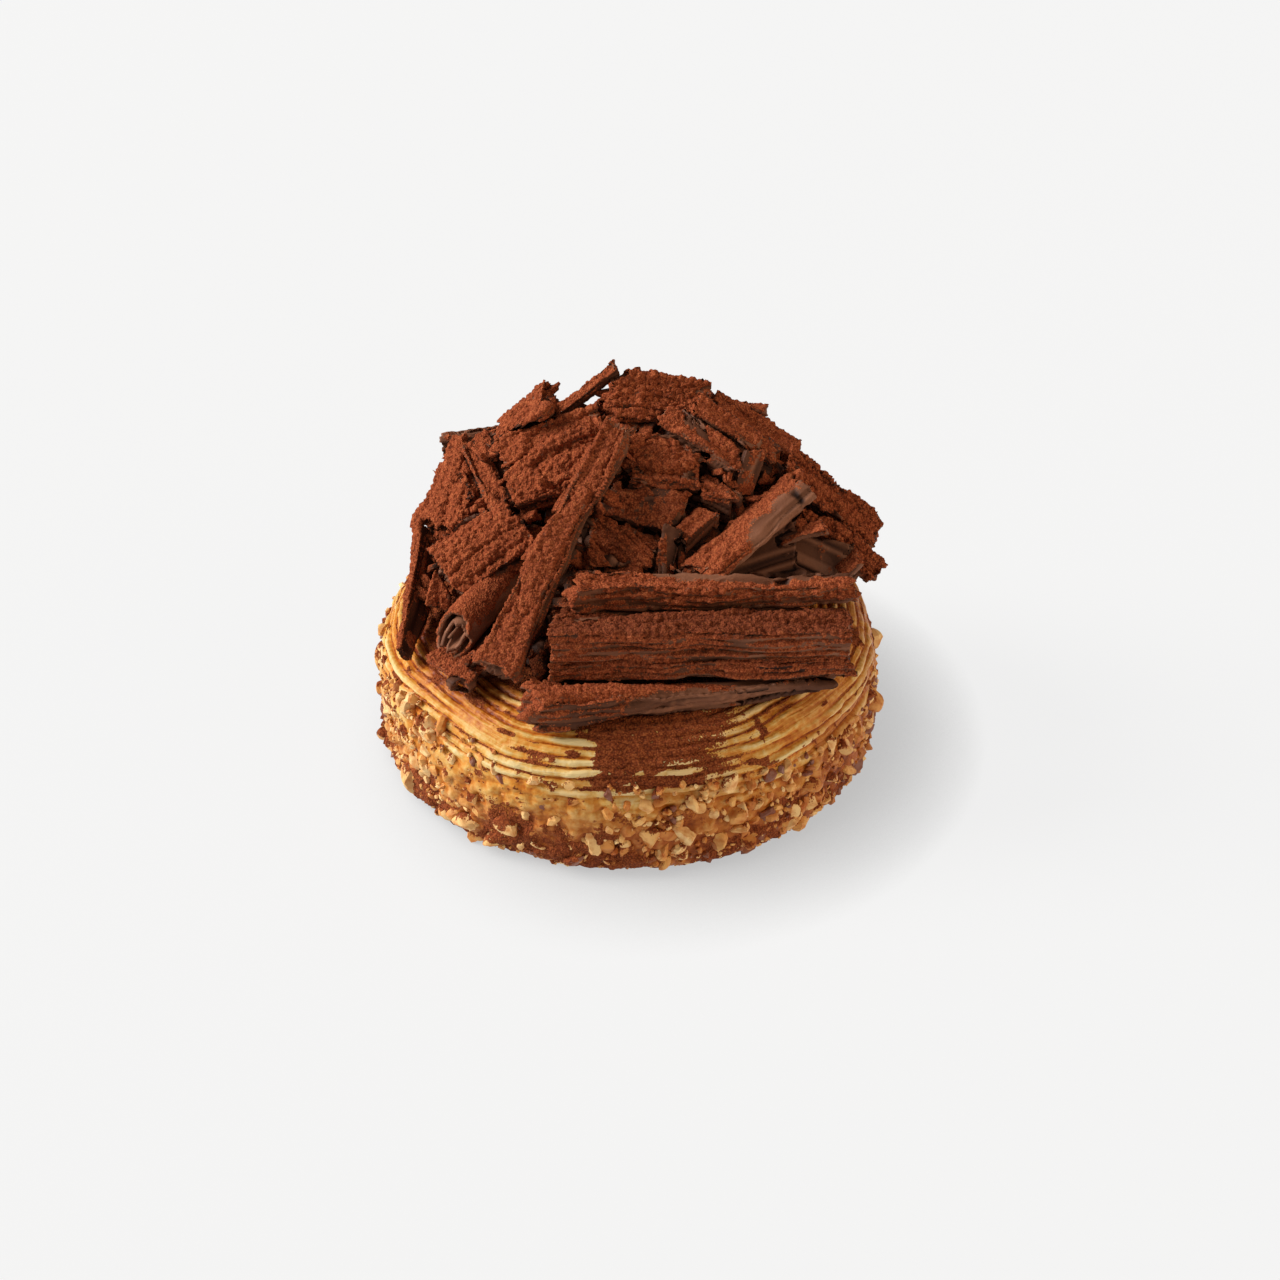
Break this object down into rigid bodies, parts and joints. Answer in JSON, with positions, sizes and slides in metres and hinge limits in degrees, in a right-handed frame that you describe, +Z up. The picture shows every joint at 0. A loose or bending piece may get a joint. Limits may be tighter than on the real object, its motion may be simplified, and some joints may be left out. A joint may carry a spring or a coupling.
{
  "type": "chocolate croissant",
  "caption": "Round laminated croissant with a nut-coated side, heaped with flaky chocolate bark dusted with cocoa; a pastry that stands on its flat base.",
  "frame": {"origin": "centre of the flat base that the pastry stands on", "axes": "+Z up through the heap, -Y towards the viewer of the picture, where the stacked logs lie, +X to that viewer's right"},
  "size_m": [0.1024, 0.1009, 0.0727],
  "materials": {
    "crust": "baked golden crust with chopped nuts",
    "bark": "flaky chocolate dusted with cocoa"
  },
  "bodies": {
    "root": {"blade_left": "bark", "blade_upright": "bark", "block_centre": "bark", "block_left_top": "bark", "block_right_low": "bark", "curl_left": "bark", "curl_right": "bark", "flake_centre": "bark", "flake_left": "bark", "flake_right_low": "bark", "flap_left": "bark", "fragment_left": "bark", "heap_core": "bark", "log_back": "bark", "log_back_left": "bark", "log_front": "bark", "log_front_high": "bark", "log_front_low": "bark", "pastry": "crust", "plank_long": "bark", "plank_right_low": "bark", "plate_back_low": "bark", "plate_back_right": "bark", "plate_left_back": "bark", "plate_right_low": "bark", "quill_left": "bark", "rod_back": "bark", "rod_right_back": "bark", "rod_right_front": "bark", "rod_right_middle": "bark", "sheet_right": "bark", "sheet_right_low": "bark", "slab_back_left": "bark", "slab_back_middle": "bark", "slab_back_right": "bark", "slab_centre": "bark", "slab_centre_right": "bark", "slab_centre_top": "bark", "slab_left": "bark", "slab_right": "bark", "slab_right_front": "bark", "slab_top": "bark", "slab_top_left": "bark", "splinter_right": "bark", "stick_back": "bark", "stick_top": "bark", "strip_right": "bark", "wedge_left": "bark"}
  },
  "joints": []
}
